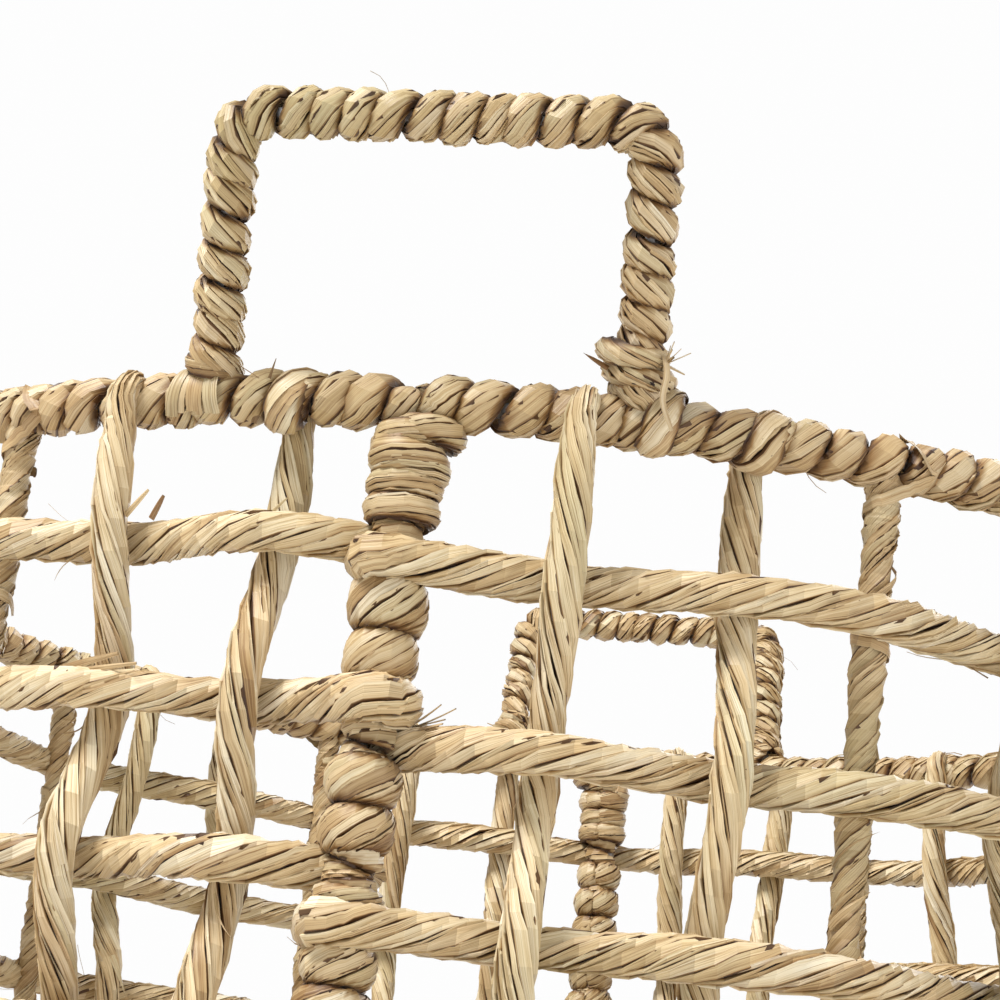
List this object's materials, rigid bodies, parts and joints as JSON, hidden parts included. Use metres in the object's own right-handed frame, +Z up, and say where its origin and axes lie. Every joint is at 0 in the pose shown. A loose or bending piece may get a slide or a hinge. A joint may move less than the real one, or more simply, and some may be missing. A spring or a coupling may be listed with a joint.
{
  "type": "seagrass storage basket",
  "caption": "Round open-weave storage basket of twisted seagrass rope on a wire frame, with a bound rim and base hoop and two rectangular handles that lean outwards.",
  "frame": {"origin": "centre of the base, at the floor", "axes": "+Z up through the middle of the mouth; -Y towards the front handle and the thick rib below it, +Y towards the back handle; +X to the right seen from the front"},
  "size_m": [0.508, 0.5434, 0.4486],
  "materials": {
    "seagrass_rope": "matte twisted dried grass leaf, straw and brown",
    "seagrass_binding": "matte wound dried grass leaf, straw and brown",
    "steel_wire": "plain drawn wire, hidden under the binding"
  },
  "bodies": {
    "root": {"base_binding": "seagrass_binding", "base_hoop": "steel_wire", "base_rope_x2": "seagrass_rope", "base_rope_x5": "seagrass_rope", "base_rope_x8": "seagrass_rope", "base_rope_y2": "seagrass_rope", "base_rope_y5": "seagrass_rope", "base_rope_y8": "seagrass_rope", "foot_knot_left_back": "seagrass_binding", "foot_knot_left_front": "seagrass_binding", "foot_knot_right_back": "seagrass_binding", "foot_knot_right_front": "seagrass_binding", "handle_wire_back": "steel_wire", "handle_wire_front": "steel_wire", "handle_wrap_back": "seagrass_binding", "handle_wrap_front": "seagrass_binding", "rib_winding_back": "seagrass_binding", "rib_winding_front": "seagrass_binding", "rib_wire_back": "steel_wire", "rib_wire_front": "steel_wire", "rim_binding": "seagrass_binding", "rim_hoop": "steel_wire", "row_1": "seagrass_rope", "row_2": "seagrass_rope", "row_3": "seagrass_rope", "row_4": "seagrass_rope", "row_5": "seagrass_rope", "row_6": "seagrass_rope", "row_7": "seagrass_rope", "row_8": "seagrass_rope", "upright_01": "seagrass_binding", "upright_02": "seagrass_binding", "upright_03": "seagrass_binding", "upright_04": "seagrass_binding", "upright_05": "seagrass_binding", "upright_07": "seagrass_binding", "upright_08": "seagrass_binding", "upright_09": "seagrass_binding", "upright_10": "seagrass_binding", "upright_11": "seagrass_binding", "wall_rope_x1": "seagrass_rope", "wall_rope_x3": "seagrass_rope", "wall_rope_x4": "seagrass_rope", "wall_rope_x6": "seagrass_rope", "wall_rope_x7": "seagrass_rope", "wall_rope_x9": "seagrass_rope", "wall_rope_y1": "seagrass_rope", "wall_rope_y3": "seagrass_rope", "wall_rope_y4": "seagrass_rope", "wall_rope_y6": "seagrass_rope", "wall_rope_y7": "seagrass_rope", "wall_rope_y9": "seagrass_rope"}
  },
  "joints": []
}
